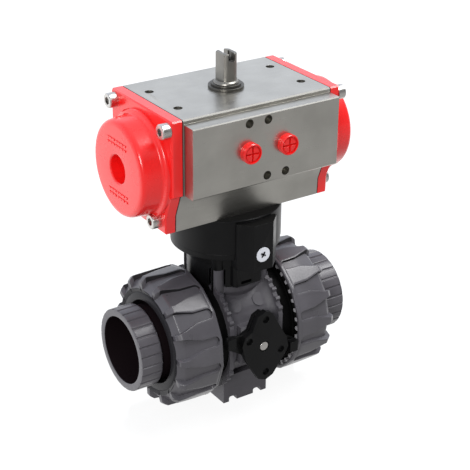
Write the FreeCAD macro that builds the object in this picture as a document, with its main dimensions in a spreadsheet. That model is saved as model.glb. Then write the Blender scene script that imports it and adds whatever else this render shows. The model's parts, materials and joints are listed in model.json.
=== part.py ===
import FreeCAD, Part
import Sketcher
import math
import os

# Rack-and-pinion quarter-turn pneumatic actuator on a true-union ball valve.
# Millimetres. +X along the pipe and the actuator, -Y the front (air ports and
# nut lock), +Z up. Origin: centre of the valve foot's underside, under the stem.

V = FreeCAD.Vector
R = FreeCAD.Rotation
doc = FreeCAD.newDocument("actuated_ball_valve")
sheet = doc.addObject("Spreadsheet::Sheet", "dims")
D = {}


class Q:
    """A length with its sheet expression."""

    def __init__(self, value, text):
        self.v = value
        self.t = text

    def __add__(self, o):
        return Q(self.v + val(o), "(%s + %s)" % (self.t, txt(o)))

    __radd__ = __add__

    def __sub__(self, o):
        return Q(self.v - val(o), "(%s - %s)" % (self.t, txt(o)))

    def __rsub__(self, o):
        return Q(val(o) - self.v, "(%s - %s)" % (txt(o), self.t))

    def __mul__(self, o):
        return Q(self.v * val(o), "(%s * %s)" % (self.t, txt(o)))

    __rmul__ = __mul__

    def __truediv__(self, o):
        return Q(self.v / val(o), "(%s / %s)" % (self.t, txt(o)))

    def __neg__(self):
        return Q(-self.v, "(0 - %s)" % self.t)


def val(x):
    return x.v if isinstance(x, Q) else float(x)


def txt(x):
    if isinstance(x, Q):
        return x.t
    return "(%.6f)" % x if x < 0 else "%.6f" % x


def dim(alias, value):
    n = len(D) + 1
    sheet.set("A%d" % n, alias.replace("_", " "))
    sheet.set("B%d" % n, "%g" % value)
    sheet.setAlias("B%d" % n, alias)
    D[alias] = Q(float(value), "dims.%s" % alias)


for alias, value in [
    # overall heights
    ("pipe_axis_height", 43.4), ("actuator_bottom_height", 121.9),
    ("actuator_top_height", 188.8), ("cylinder_axis_height", 155.1),
    ("stub_top_height", 208.8),
    # actuator body
    ("body_half_length", 47.3), ("body_top_half_width", 32.0),
    ("body_waist_height", 146.4), ("body_waist_half_width", 29.0),
    ("body_skirt_half_width", 24.0), ("body_foot_half_width", 23.6),
    ("front_block_face", 41.0), ("front_block_top", 186.3),
    ("front_block_bottom", 146.5), ("front_block_half_length", 47.0),
    ("cylinder_bore_radius", 26.0),
    # standard interfaces
    ("namur_top_half_spacing_x", 40.0), ("namur_top_half_spacing_y", 15.0),
    ("namur_port_spacing", 12.0), ("namur_screw_half_height", 16.0),
    ("port_height", 166.6), ("screw_hole_radius", 2.5),
    ("iso_small_half_spacing", 12.728), ("iso_posts_half_spacing", 14.849),
    # end caps
    ("gasket_thickness", 0.6), ("cap_flange_thickness", 6.2),
    ("cap_ring_radius", 30.5), ("cap_ring_length", 2.4),
    ("cap_dome_radius", 27.5), ("cap_face_distance", 69.2),
    ("cap_inner_radius", 24.0), ("cap_recess_radius", 8.07),
    ("cap_recess_depth", 13.0), ("cap_screw_upper_y", 28.0),
    ("cap_screw_upper_height", 183.3), ("cap_screw_lower_y", 16.0),
    ("cap_screw_lower_height", 127.8), ("cap_screw_head_radius", 4.25),
    ("cap_screw_head_length", 5.0), ("cap_screw_shank_radius", 2.1),
    # drive
    ("pinion_pitch_radius", 10.0), ("pinion_outer_radius", 11.25),
    ("pinion_root_radius", 8.4375), ("pinion_teeth", 16), ("tooth_half_thickness", 0.8),
    ("gear_half_height", 9.0), ("upper_journal_radius", 8.0),
    ("lower_journal_radius", 10.0), ("bearing_wall", 1.4),
    ("running_gap", 0.05), ("stub_radius", 5.9), ("stub_flat", 4.2),
    ("stub_slot_width", 4.0), ("stub_slot_depth", 4.5), ("stub_hole_radius", 2.5),
    ("drive_square_half", 5.5), ("washer_radius", 10.0), ("washer_thickness", 1.5),
    ("ring_radius", 8.0), ("ring_thickness", 1.1),
    ("piston_radius", 25.7), ("piston_inner_face", 20.5), ("piston_outer_face", 31.5),
    ("rack_half_height", 7.0), ("rack_bar_back", 20.0), ("rack_tip_reach", 19.5),
    ("rack_root", 11.5625), ("rack_tip", 8.75), ("module_length", 3.92699),
    ("spring_mean_radius", 17.0), ("spring_wire_radius", 1.6),
    # bracket
    ("bracket_radius", 32.2), ("bracket_neck_radius", 22.9),
    ("bracket_parting_height", 100.9), ("bracket_ledge_height", 97.3), ("bracket_collar_step_height", 89.4),
    ("bracket_collar_radius", 22.4), ("bracket_lobe_face", 24.6), ("bracket_lobe_half_width", 9.6), ("bracket_bottom_height", 75.8),
    ("notch_top_height", 87.0), ("boss_half_width", 6.4), ("boss_flank_half_width", 13.0), ("boss_face", 38.9), ("boss_bottom", 92.2),
    ("boss_top", 120.5), ("disc_height", 101.7), ("disc_radius", 4.45),
    ("post_radius", 3.7), ("coupling_radius", 11.5),
    # valve
    ("socket_radius", 20.0), ("socket_end", 70.5), ("socket_depth", 26.0),
    ("socket_outer_radius", 24.4), ("neck_radius", 22.3), ("sleeve_inner_face", 57.0), ("sleeve_ribs", 26), ("passage_radius", 16.0),
    ("barrel_radius", 31.0), ("flange_radius", 37.6), ("flange_inner_face", 15.5),
    ("flange_outer_face", 18.3), ("thread_radius", 34.6), ("body_end_face", 40.0),
    ("cavity_radius", 26.0), ("ball_radius", 24.0), ("nut_rim_face", 26.2),
    ("nut_nose_face", 53.2), ("nut_radius", 39.7), ("nut_nose_radius", 36.2),
    ("nut_petals", 15), ("nut_lip_radius", 29.2),
    ("nut_pocket_floor", 38.0), ("nut_bore_radius", 34.9), ("nut_nose_bore", 25.0),
    ("collar_radius", 33.6), ("collar_outer_face", 46.0),
    ("foot_half_length", 15.2), ("foot_half_width", 22.5), ("foot_height", 14.0),
    ("foot_notch_x", 8.6), ("foot_notch_width", 5.6), ("foot_notch_height", 3.2),
    ("insert_radius", 4.2), ("insert_hole_radius", 2.5),
    ("neck_plate_radius", 24.0), ("stem_radius", 7.5),
    ("lock_plate_face", 41.6), ("lock_plate_thickness", 3.4),
]:
    dim(alias, value)
doc.recompute()

zp = D["pipe_axis_height"]
za = D["cylinder_axis_height"]
PLACE = {
    "z": R(), "x": R(V(0, 1, 0), 90), "-x": R(V(0, 1, 0), -90),
    "y": R(V(1, 0, 0), -90), "-y": R(V(1, 0, 0), 90), "-z": R(V(1, 0, 0), 180),
}
count = {}


def name_of(stem):
    count[stem] = count.get(stem, 0) + 1
    return "%s_%02d" % (stem, count[stem])


def bind(o, prop, q):
    if isinstance(q, Q):
        o.setExpression(prop, q.t)


def place(o, base, axis="z", turn=0.0):
    rot = PLACE[axis]
    if turn:
        rot = rot.multiply(R(V(0, 0, 1), turn))
    o.Placement = FreeCAD.Placement(V(*[val(b) for b in base]), rot)
    for letter, b in zip("xyz", base):
        bind(o, "Placement.Base." + letter, b)
    return o


def cyl(r, h, base=(0, 0, 0), axis="z"):
    o = doc.addObject("Part::Cylinder", name_of("cyl"))
    o.Radius, o.Height = val(r), val(h)
    bind(o, "Radius", r)
    bind(o, "Height", h)
    return place(o, base, axis)


def cone(r1, r2, h, base=(0, 0, 0), axis="z"):
    o = doc.addObject("Part::Cone", name_of("cone"))
    o.Radius1, o.Radius2, o.Height = val(r1), val(r2), val(h)
    bind(o, "Radius1", r1)
    bind(o, "Radius2", r2)
    bind(o, "Height", h)
    return place(o, base, axis)


def box(size, base, turn=0.0, axis="z"):
    o = doc.addObject("Part::Box", name_of("box"))
    for prop, q in zip(("Length", "Width", "Height"), size):
        setattr(o, prop, val(q))
        bind(o, prop, q)
    return place(o, base, axis, turn)


def torus(r, wire, base, axis="z"):
    o = doc.addObject("Part::Torus", name_of("torus"))
    o.Radius1, o.Radius2 = val(r), val(wire)
    bind(o, "Radius1", r)
    bind(o, "Radius2", wire)
    return place(o, base, axis)


def hexagon(across, h, base, axis="z"):
    o = doc.addObject("Part::Prism", name_of("hex"))
    o.Polygon = 6
    o.Circumradius, o.Height = val(across) / math.sqrt(3), val(h)
    bind(o, "Height", h)
    return place(o, base, axis)


def fuse(parts, label=None):
    o = doc.addObject("Part::MultiFuse", name_of("fuse"))
    o.Shapes = parts
    o.Refine = True
    if label:
        o.Label = label
    return o


def cut(base, tools, label=None):
    tool = tools[0] if len(tools) == 1 else fuse(tools)
    o = doc.addObject("Part::Cut", name_of("cut"))
    o.Base, o.Tool = base, tool
    o.Refine = True
    if label:
        o.Label = label
    return o


def common(a, b, label=None):
    o = doc.addObject("Part::Common", name_of("common"))
    o.Base, o.Tool = a, b
    if label:
        o.Label = label
    return o


def group(parts, label):
    o = doc.addObject("Part::Compound", name_of("group"))
    o.Links = parts
    o.Label = label
    return o


def plane(body, role):
    return [f for f in body.Origin.OriginFeatures if f.Role == role][0]


def pin(sk, g, end, point):
    for k, (kind, axis_id) in enumerate((("DistanceX", -2), ("DistanceY", -1))):
        p = point[k]
        if not isinstance(p, Q) and abs(p) < 1e-9:
            sk.addConstraint(Sketcher.Constraint("PointOnObject", g, end, axis_id))
            continue
        i = sk.addConstraint(Sketcher.Constraint(kind, -1, 1, g, end, val(p)))
        if isinstance(p, Q):
            sk.setExpression("Constraints[%d]" % i, p.t)


def sketch(body, role, loops, offset=0.0, circles=()):
    sk = body.newObject("Sketcher::SketchObject", name_of("sketch"))
    sk.AttachmentSupport = [(plane(body, role), "")]
    sk.MapMode = "FlatFace"
    if isinstance(offset, Q) or offset:
        sk.AttachmentOffset = FreeCAD.Placement(V(0, 0, val(offset)), R())
        bind(sk, "AttachmentOffset.Base.z", offset)
    for pts in loops:
        first = sk.GeometryCount
        n = len(pts)
        for i in range(n):
            a, b = pts[i], pts[(i + 1) % n]
            sk.addGeometry(Part.LineSegment(V(val(a[0]), val(a[1]), 0), V(val(b[0]), val(b[1]), 0)), False)
        for i in range(n):
            sk.addConstraint(Sketcher.Constraint("Coincident", first + i, 2, first + (i + 1) % n, 1))
        for i in range(n):
            pin(sk, first + i, 1, pts[i])
    for cx, cy, r in circles:
        g = sk.addGeometry(Part.Circle(V(val(cx), val(cy), 0), V(0, 0, 1), val(r)), False)
        pin(sk, g, 3, (cx, cy))
        i = sk.addConstraint(Sketcher.Constraint("Radius", g, val(r)))
        if isinstance(r, Q):
            sk.setExpression("Constraints[%d]" % i, r.t)
    return sk


def new_body(label=None, base=(0, 0, 0)):
    b = doc.addObject("PartDesign::Body", name_of("body"))
    if label:
        b.Label = label
    return place(b, base)


def turned(pts, axis="V_Axis", base=(0, 0, 0), label=None):
    """Revolved profile: V_Axis takes (radius, z), H_Axis takes (x, radius)."""
    b = new_body(label, base)
    sk = sketch(b, "XZ_Plane", [pts])
    rev = b.newObject("PartDesign::Revolution", name_of("revolution"))
    rev.Profile = sk
    rev.ReferenceAxis = (sk, [axis])
    rev.Angle = 360
    return b


def pad(body, sk, length, flip=False):
    p = body.newObject("PartDesign::Pad", name_of("pad"))
    p.Profile = sk
    p.Length = val(length)
    bind(p, "Length", length)
    p.Reversed = flip
    return p


def pocket(body, sk, length=None, flip=False):
    p = body.newObject("PartDesign::Pocket", name_of("pocket"))
    p.Profile = sk
    if length is None:
        p.Type = 1
    else:
        p.Length = val(length)
        bind(p, "Length", length)
    p.Reversed = flip
    return p


def polar(body, features, axis_role, n):
    p = body.newObject("PartDesign::PolarPattern", name_of("polar"))
    p.Originals = features
    p.Axis = (plane(body, axis_role), [""])
    p.Angle = 360
    p.Occurrences = n
    body.Tip = p
    return p


def feature(label, shape, base=(0, 0, 0)):
    o = doc.addObject("Part::Feature", name_of("feature"))
    o.Label = label
    o.Shape = shape
    return place(o, base)


NODES = []


def node(o, label=None):
    if label:
        o.Label = label
    NODES.append(o)
    return o


# ---------------------------------------------------------------- actuator body
def outline(inset=0.0):
    t = D["actuator_top_height"] - inset
    f = D["actuator_bottom_height"] + inset
    w, m, k, b = (D["body_top_half_width"] - inset, D["body_waist_half_width"] - inset,
                  D["body_skirt_half_width"] - inset, D["body_foot_half_width"] - inset)
    h = D["body_waist_height"]
    right = [(w - 0.8, t), (w, t - 0.8), (w, h), (m, h - 1.9), (k, f + 9.8), (b, f)]
    return right + [(-y, z) for y, z in reversed(right)]


shell = new_body()
pad(shell, sketch(shell, "YZ_Plane", [outline()], -D["body_half_length"]), D["body_half_length"] * 2)
fb, ft, ff = D["front_block_bottom"], D["front_block_top"], D["front_block_face"]
pad(shell, sketch(shell, "YZ_Plane", [[(-31.0, ft), (0.6 - ff, ft), (-ff, ft - 0.6), (-ff, fb + 0.6), (0.6 - ff, fb), (-31.0, fb)]],
                  -D["front_block_half_length"]), D["front_block_half_length"] * 2)
pocket(shell, sketch(shell, "YZ_Plane", [], -D["body_half_length"] - 1.0, [(0, za, D["cylinder_bore_radius"])]), None, True)
tools = []
for sx in (1, -1):
    for sy in (1, -1):
        tools.append(cyl(D["screw_hole_radius"], 9.0, (D["namur_top_half_spacing_x"] * sx, D["namur_top_half_spacing_y"] * sy, D["actuator_top_height"] + 1.0), "-z"))
        tools.append(cyl(2.1, 8.0, (D["iso_small_half_spacing"] * sx, D["iso_small_half_spacing"] * sy, D["actuator_bottom_height"] - 1.0)))
        for y, z in ((D["cap_screw_upper_y"], D["cap_screw_upper_height"]), (D["cap_screw_lower_y"], D["cap_screw_lower_height"])):
            tools.append(cyl(D["cap_screw_shank_radius"], 14.0, ((D["body_half_length"] + 1.0) * sx, y * sy, z), "-x" if sx > 0 else "x"))
for px, dz in ((-1, 1), (0, 1), (0, -1), (1, -1)):
    tools.append(cyl(D["screw_hole_radius"], 8.0, (D["namur_port_spacing"] * px, -ff - 1.0, D["port_height"] + D["namur_screw_half_height"] * dz), "y"))
for px in (-1, 1):
    tools.append(cyl(4.6, 12.0 if px > 0 else 20.0, (D["namur_port_spacing"] * px, -ff - 1.0, D["port_height"]), "y"))
tools.append(cyl(D["lower_journal_radius"] + D["bearing_wall"] + 0.02, 12.0, (0, 0, D["actuator_bottom_height"] - 1.0)))
tools.append(cyl(D["upper_journal_radius"] + D["bearing_wall"] + 0.02, 14.0, (0, 0, D["actuator_top_height"] - 13.0)))
node(cut(shell, tools), "actuator_body")

# ---------------------------------------------------------------- gaskets, caps, screws
SCREWS = [(1, "cap_screw_upper_y", "cap_screw_upper_height"), (-1, "cap_screw_upper_y", "cap_screw_upper_height"),
          (1, "cap_screw_lower_y", "cap_screw_lower_height"), (-1, "cap_screw_lower_y", "cap_screw_lower_height")]
for side, s in (("left", -1), ("right", 1)):
    x0 = D["body_half_length"]
    g = new_body()
    pad(g, sketch(g, "YZ_Plane", [outline(0.15)], x0 * s, [(0, za, D["cylinder_bore_radius"])] + [(D[y] * sy, D[z], 2.3) for sy, y, z in SCREWS]),
        D["gasket_thickness"], s < 0)
    node(g, side + "_cap_gasket")
    x1 = x0 + D["gasket_thickness"]
    x2 = x1 + D["cap_flange_thickness"]
    x3 = D["cap_face_distance"]
    c = new_body()
    pad(c, sketch(c, "YZ_Plane", [outline()], x1 * s), D["cap_flange_thickness"], s < 0)
    dome = turned([(x * s, r) for x, r in (
        (x1 + 1.0, 0), (x1 + 1.0, D["cap_ring_radius"]), (x2 + D["cap_ring_length"] - 1.0, D["cap_ring_radius"]),
        (x2 + D["cap_ring_length"], D["cap_ring_radius"] - 1.0), (x2 + D["cap_ring_length"] + 0.4, D["cap_dome_radius"] + 0.3),
        (x3 - 3.0, D["cap_dome_radius"] - 0.4), (x3 - 1.5, D["cap_dome_radius"] - 1.0), (x3 - 0.4, D["cap_dome_radius"] - 2.1),
        (x3, D["cap_dome_radius"] - 3.3), (x3, 0))], "H_Axis", (0, 0, za))
    hollow = turned([(x * s, r) for x, r in (
        (x1 - 2.0, 0), (x1 - 2.0, D["cap_inner_radius"] + 1.0), (x1 + 2.0, D["cap_inner_radius"]),
        (x3 - 4.5, D["cap_inner_radius"] - 0.8), (x3 - 3.5, D["cap_inner_radius"] - 2.0),
        (x3 - 3.5, D["cap_recess_radius"] + 2.2), (x3 - D["cap_recess_depth"] - 2.2, D["cap_recess_radius"] + 2.2),
        (x3 - D["cap_recess_depth"] - 2.2, 0))], "H_Axis", (0, 0, za))
    holes = [cyl(2.75, 12.0, ((x1 - 1.0) * s, D[y] * sy, D[z]), "x" if s > 0 else "-x") for sy, y, z in SCREWS]
    holes += [cyl(D["cap_screw_head_radius"] + 0.4, 8.0, (x2 * s, D[y] * sy, D[z]), "x" if s > 0 else "-x") for sy, y, z in SCREWS]
    holes.append(cyl(D["cap_recess_radius"], D["cap_recess_depth"] + 1.0, ((x3 + 1.0) * s, 0, za), "-x" if s > 0 else "x"))
    bars = [box((0.6, 20.0, 1.1), ((x3 - (0.1 if s > 0 else 0.5)) * s if s > 0 else -x3 - 0.5, -10.0, za + dz)) for dz in (13.0, 15.6, -14.1, -16.7)]
    node(cut(fuse([c, dome] + bars), [hollow] + holes), side + "_end_cap")
    screws = []
    for sy, y, z in SCREWS:
        ax = "x" if s > 0 else "-x"
        inward = "-x" if s > 0 else "x"
        head = turned([(0, 0), (D["cap_screw_head_radius"], 0), (D["cap_screw_head_radius"], D["cap_screw_head_length"] - 0.5),
                       (D["cap_screw_head_radius"] - 0.5, D["cap_screw_head_length"]), (0, D["cap_screw_head_length"])])
        head.Placement = FreeCAD.Placement(V(0, 0, 0), R())
        place(head, (x2 * s, D[y] * sy, D[z]), ax)
        shank = cyl(D["cap_screw_shank_radius"] - 0.02, 18.0, (x2 * s, D[y] * sy, D[z]), inward)
        socket = hexagon(4.0, 3.4, ((x2 + D["cap_screw_head_length"] + 0.4) * s, D[y] * sy, D[z]), inward)
        screws.append(cut(fuse([head, shank]), [socket]))
    node(group(screws, side + "_cap_screws"))

# ---------------------------------------------------------------- pinion shaft
zt, zb = D["actuator_top_height"], D["actuator_bottom_height"]
rj, ru = D["lower_journal_radius"], D["upper_journal_radius"]
shaft = turned([
    (0, zb + 0.3), (rj, zb + 0.3), (rj, zb + 9.0), (D["pinion_root_radius"], zb + 10.2),
    (D["pinion_root_radius"], za + 12.0), (ru, za + 13.0), (ru, zt + D["washer_thickness"]),
    (ru - 1.2, zt + D["washer_thickness"]), (ru - 1.2, zt + D["washer_thickness"] + 1.3),
    (ru - 0.9, zt + D["washer_thickness"] + 1.3), (D["stub_radius"] + 0.9, zt + 3.6), (D["stub_radius"], zt + 4.2),
    (D["stub_radius"], D["stub_top_height"] - 0.5), (D["stub_radius"] - 0.5, D["stub_top_height"]), (0, D["stub_top_height"])])
base_r = D["pinion_pitch_radius"].v * math.cos(math.radians(20))
rp, ro, rr, nt = D["pinion_pitch_radius"].v, D["pinion_outer_radius"].v, D["pinion_root_radius"].v, int(D["pinion_teeth"].v)


def involute(a):
    return math.tan(a) - a


def half_angle(r):
    """Half the tooth's angle at radius r."""
    at_pitch = D["tooth_half_thickness"].v / rp
    if r < base_r:
        return at_pitch + involute(math.radians(20))
    return at_pitch + involute(math.radians(20)) - involute(math.acos(base_r / r))


pts = []
for k in range(nt):
    mid = 2 * math.pi * k / nt + math.pi / 2
    radii = [rr - 0.2, 9.0, 9.5, 10.0, 10.6, ro]
    for r in radii:
        pts.append((r, mid - half_angle(r)))
    for r in reversed(radii):
        pts.append((r, mid + half_angle(r)))
poly = [V(r * math.cos(a), r * math.sin(a), 0) for r, a in pts]
gear = Part.Face(Part.makePolygon(poly + [poly[0]])).extrude(V(0, 0, 2 * D["gear_half_height"].v))
gear = gear.fuse(Part.makeCylinder(rr, 2 * D["gear_half_height"].v)).removeSplitter()
teeth = feature("pinion_teeth_blank", gear, (0, 0, za - D["gear_half_height"]))
flat, slot = D["stub_flat"], D["stub_slot_width"]
pinion_tools = [
    box((4.0, 20.0, 17.0), (flat, -10.0, zt + 4.4)), box((4.0, 20.0, 17.0), (-flat - 4.0, -10.0, zt + 4.4)),
    box((slot, 20.0, D["stub_slot_depth"] + 1.0), (-slot / 2, -10.0, D["stub_top_height"] - D["stub_slot_depth"])),
    cyl(D["stub_hole_radius"], 13.0, (0, 0, D["stub_top_height"] + 1.0), "-z"),
    box((D["drive_square_half"] * 2, D["drive_square_half"] * 2, 13.0), (-D["drive_square_half"], -D["drive_square_half"], zb - 1.0)),
]
node(cut(fuse([shaft, teeth]), pinion_tools), "pinion_shaft")

gap = D["running_gap"]
node(cut(cyl(rj + D["bearing_wall"], 7.0, (0, 0, zb + 0.6)), [cyl(rj + gap, 9.0, (0, 0, zb - 0.4))]), "pinion_lower_bearing")
node(cut(cyl(ru + D["bearing_wall"], 6.6, (0, 0, zt - 6.8)), [cyl(ru + gap, 9.0, (0, 0, zt - 7.8))]), "pinion_upper_bearing")
node(cut(cyl(D["washer_radius"], D["washer_thickness"], (0, 0, zt)), [cyl(ru + gap, 4.0, (0, 0, zt - 1.0))]), "thrust_washer")
ring_z = zt + D["washer_thickness"] + 0.05
ring = cut(cyl(D["ring_radius"] + 0.4, D["ring_thickness"], (0, 0, ring_z)),
           [cyl(ru - 1.15, 4.0, (0, 0, ring_z - 1.0)), box((12.0, 3.2, 4.0), (0, -1.6, ring_z - 1.0), 38.0)])
lug_a = cut(cyl(1.5, D["ring_thickness"], (7.9, 3.6, ring_z)), [cyl(0.6, 4.0, (7.9, 3.6, ring_z - 1.0))])
lug_b = cut(cyl(1.5, D["ring_thickness"], (3.9, 7.75, ring_z)), [cyl(0.6, 4.0, (3.9, 7.75, ring_z - 1.0))])
node(fuse([ring, lug_a, lug_b]), "snap_ring")

# ---------------------------------------------------------------- pistons
rpis = D["piston_radius"]
for side, s in (("left", -1), ("right", 1)):
    xi, xo = D["piston_inner_face"], D["piston_outer_face"]
    head = turned([(x * s, r) for x, r in (
        (xi, 0), (xi, rpis - 1.0), (xi + 1.0, rpis), (xi + 2.2, rpis), (xi + 2.2, rpis - 0.8), (xi + 4.7, rpis - 0.8), (xi + 4.7, rpis),
        (xi + 6.2, rpis), (xi + 6.2, rpis - 2.4), (xi + 9.2, rpis - 2.4), (xi + 9.2, rpis), (xo, rpis), (xo, rpis - 3.2), (xo - 2.0, rpis - 3.8),
        (xo - 2.0, 13.5), (xo, 13.2), (xo, 11.2), (xo - 4.0, 10.8), (xo - 4.0, 0))], "H_Axis", (0, 0, za))
    ys = -s
    hh, back, root, tip, reach = D["rack_half_height"], D["rack_bar_back"], D["rack_root"], D["rack_tip"], D["rack_tip_reach"]
    length = reach + xi + 0.5
    bar = box((length, back - root, hh * 2), (-xi - 0.5 if s < 0 else -reach, root if ys > 0 else -back, za - hh))
    p = D["module_length"].v
    th, tr, rt = D["tooth_half_thickness"].v, math.tan(math.radians(20)), rp
    faces = []
    for k in range(-4, 5):
        xc = (k + 0.5) * p
        if (xc * s > -18.4) and (xc * s < 14.0):
            w_tip = th - (rt - tip.v) * tr
            w_root = th + (root.v - rt) * tr
            poly = [V(xc - w_tip, ys * tip.v, 0), V(xc + w_tip, ys * tip.v, 0), V(xc + w_root, ys * root.v, 0),
                    V(xc + w_root, ys * (root.v + 1.0), 0), V(xc - w_root, ys * (root.v + 1.0), 0), V(xc - w_root, ys * root.v, 0)]
            faces.append(Part.Face(Part.makePolygon(poly + [poly[0]])).extrude(V(0, 0, 2 * hh.v)))
    rack = feature(side + "_rack_teeth_blank", Part.makeCompound(faces), (0, 0, za - hh))
    pis = fuse([head, bar, rack])
    slot_x = -8.0 if s < 0 else -8.0
    groove = box((16.4, 2.0, 8.4), (slot_x - 0.2, back - 1.5 if ys > 0 else -back - 0.5, za - 4.2))
    node(cut(pis, [groove]), side + "_piston")
    node(torus(rpis - 1.03, 1.25, ((xi + 7.7) * s, 0, za), "x"), side + "_piston_o_ring")
    band = turned([(x * s, r) for x, r in ((xi + 2.3, rpis - 0.75), (xi + 2.3, rpis + 0.22), (xi + 4.6, rpis + 0.22), (xi + 4.6, rpis - 0.75))], "H_Axis", (0, 0, za))
    node(band, side + "_piston_guide_band")
    node(box((16.0, 6.4, 8.0), (slot_x, back - 1.5 if ys > 0 else -back + 1.5 - 6.4, za - 4.0)), side + "_rack_wear_pad")
    # return spring between the piston and the cap
    coils = 5
    free = D["cap_face_distance"].v - 3.6 - (xo.v - 2.0) - 0.2
    wr, mr = D["spring_wire_radius"].v, D["spring_mean_radius"].v
    pitch = (free - 2 * wr) / coils
    helix = Part.makeHelix(pitch, pitch * coils, mr)
    circle = Part.Wire(Part.Circle(V(mr, 0, 0), V(0, 1, 0), wr).toShape())
    wire = Part.Wire(helix).makePipeShell([circle], True, True)
    sp = feature(side + "_return_spring", wire)
    x_start = (xo.v - 2.0 + 0.1 + wr)
    sp.Placement = FreeCAD.Placement(V(s * x_start, 0, za.v), PLACE["x" if s > 0 else "-x"])
    sp.setExpression("Placement.Base.z", za.t)
    node(sp)

# ---------------------------------------------------------------- port plugs
for side, sx in (("left", -1), ("right", 1)):
    x = D["namur_port_spacing"] * sx
    cap = turned([(0, 0), (5.8, 0), (5.8, 3.4), (5.4, 4.0), (4.9, 4.0), (4.9, 2.6), (4.1, 2.6), (4.1, 3.5), (0, 3.5)])
    cap.Placement = FreeCAD.Placement()
    place(cap, (x, -ff, D["port_height"]), "-y")
    stem = cyl(4.5, 8.0, (x, -ff, D["port_height"]), "y")
    cross = [box((1.0, 2.4, 9.0), (x - 0.5, -ff - 4.4, D["port_height"] - 4.5)), box((9.0, 2.4, 1.0), (x - 4.5, -ff - 4.4, D["port_height"] - 0.5))]
    node(cut(fuse([cap, stem]), cross), side + "_port_plug")

# ---------------------------------------------------------------- bracket
zbp, zbl, zbb = D["bracket_parting_height"], D["bracket_ledge_height"], D["bracket_bottom_height"]
rb, rn, rc = D["bracket_radius"], D["bracket_neck_radius"], D["bracket_collar_radius"]
iso, post = D["iso_small_half_spacing"], D["iso_posts_half_spacing"]
upper = turned([(12.6, zb), (rb - 0.6, zb), (rb, zb - 0.6), (rb, zbp + 0.15), (rb - 0.3, zbp), (29.0, zbp), (29.0, zb - 6.5), (12.6, zb - 6.5)])
w, bf = D["boss_half_width"], D["boss_face"]
bw = D["boss_flank_half_width"]
boss = new_body()
pad(boss, sketch(boss, "XY_Plane", [[(-bw, -30.5), (-bw, 6.6 - bf), (-w, -bf), (w, -bf), (bw, 6.6 - bf), (bw, -30.5)]], zbp), D["boss_top"] - zbp)
tongue = new_body()
pad(tongue, sketch(tongue, "XY_Plane", [[(-bw, 2.6 - rb), (-bw, 6.6 - bf), (-w, -bf), (w, -bf), (bw, 6.6 - bf), (bw, 2.6 - rb), (10.4, 1.5 - rb), (6.0, 0.4 - rb), (0, -rb), (-6.0, 0.4 - rb), (-10.4, 1.5 - rb)]], D["boss_bottom"]), zbp - D["boss_bottom"] + 0.5)
rib = box((w * 2 - 1.0, 5.0, 8.0), (0.5 - w, -33.5, zb - 14.5))
upper_tools = [cyl(2.6, 9.0, (iso * sx, iso * sy, zb - 8.0)) for sx in (1, -1) for sy in (1, -1)]
upper_tools.append(cyl(D["disc_radius"] + 0.45, 1.3, (0, -bf - 0.5, D["disc_height"]), "y"))
node(cut(fuse([upper, boss, tongue, rib]), upper_tools), "bracket_upper")
node(cut(cyl(D["disc_radius"], 0.7, (0, 0.8 - bf, D["disc_height"]), "-y"), [cyl(1.3, 1.0, (0, 0.5 - bf, D["disc_height"]), "-y")]), "label_disc")

screws = []
for sx in (1, -1):
    for sy in (1, -1):
        head = cyl(4.2, 5.0, (iso * sx, iso * sy, zb - 6.5), "-z")
        shank = cyl(2.08, 12.0, (iso * sx, iso * sy, zb - 6.5))
        socket = hexagon(4.0, 3.0, (iso * sx, iso * sy, zb - 12.0))
        screws.append(cut(fuse([head, shank]), [socket]))
node(group(screws, "bracket_upper_screws"))

zst = D["bracket_collar_step_height"]
lower = turned([(13.0, zbb), (rc, zbb), (rc, zst), (rn, zst + 0.2), (rn, zbl), (rb - 0.7, zbl), (rb - 0.4, zbl + 0.3), (rb - 0.4, zbp - 0.3), (rb - 0.6, zbp), (28.6, zbp),
                (28.6, zbp + 3.0), (26.0, zbp + 3.0), (26.0, zbl + 2.0), (13.0, zbl + 2.0)])
znt = D["notch_top_height"]
lower_boss = new_body()
pad(lower_boss, sketch(lower_boss, "XY_Plane", [[(0.6 - bw, -26.0), (0.6 - bw, 3.2 - rb), (-10.4, 1.9 - rb), (-6.0, 0.8 - rb), (0, 0.4 - rb), (6.0, 0.8 - rb), (10.4, 1.9 - rb), (bw - 0.6, 3.2 - rb), (bw - 0.6, -26.0)]], D["boss_bottom"]), zbp - D["boss_bottom"] - 0.3)
lobe = new_body()
lw, lo = D["bracket_lobe_half_width"], D["bracket_lobe_face"]
pad(lobe, sketch(lobe, "XY_Plane", [[(-lw, -17.0), (-lw, 1.5 - lo), (1.5 - lw, -lo), (lw - 1.5, -lo), (lw, 1.5 - lo), (lw, -17.0)]], zbb + 1.0), zbl - zbb - 0.5)
sleeves = [cyl(3.7, zbl - znt + 1.0, (post * sx, post * sy, znt)) for sx in (1, -1) for sy in (1, -1)]
lower_tools = []
for sx in (1, -1):
    for sy in (1, -1):
        lower_tools.append(cyl(4.8, znt - zbb + 0.05, (post * sx, post * sy, zbb - 0.05)))
        lower_tools.append(cyl(2.2, 16.0, (post * sx, post * sy, znt - 1.0)))
        lower_tools.append(cyl(4.3, 6.0, (post * sx, post * sy, zbl + 2.0)))
slot_cut = [box((7.0, 6.0, 1.8), (-5.0, -25.0, zbb + 2.2))]
node(cut(fuse([lower, lower_boss, lobe] + sleeves), lower_tools + slot_cut), "bracket_lower")
screws = []
for sx in (1, -1):
    for sy in (1, -1):
        head = cyl(3.9, 4.0, (post * sx, post * sy, zbl + 2.0))
        shank = cyl(2.0, 25.0, (post * sx, post * sy, zbl + 2.0), "-z")
        socket = hexagon(4.0, 3.0, (post * sx, post * sy, zbl + 3.8))
        screws.append(cut(fuse([head, shank]), [socket]))
node(group(screws, "bracket_lower_screws"))

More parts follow.
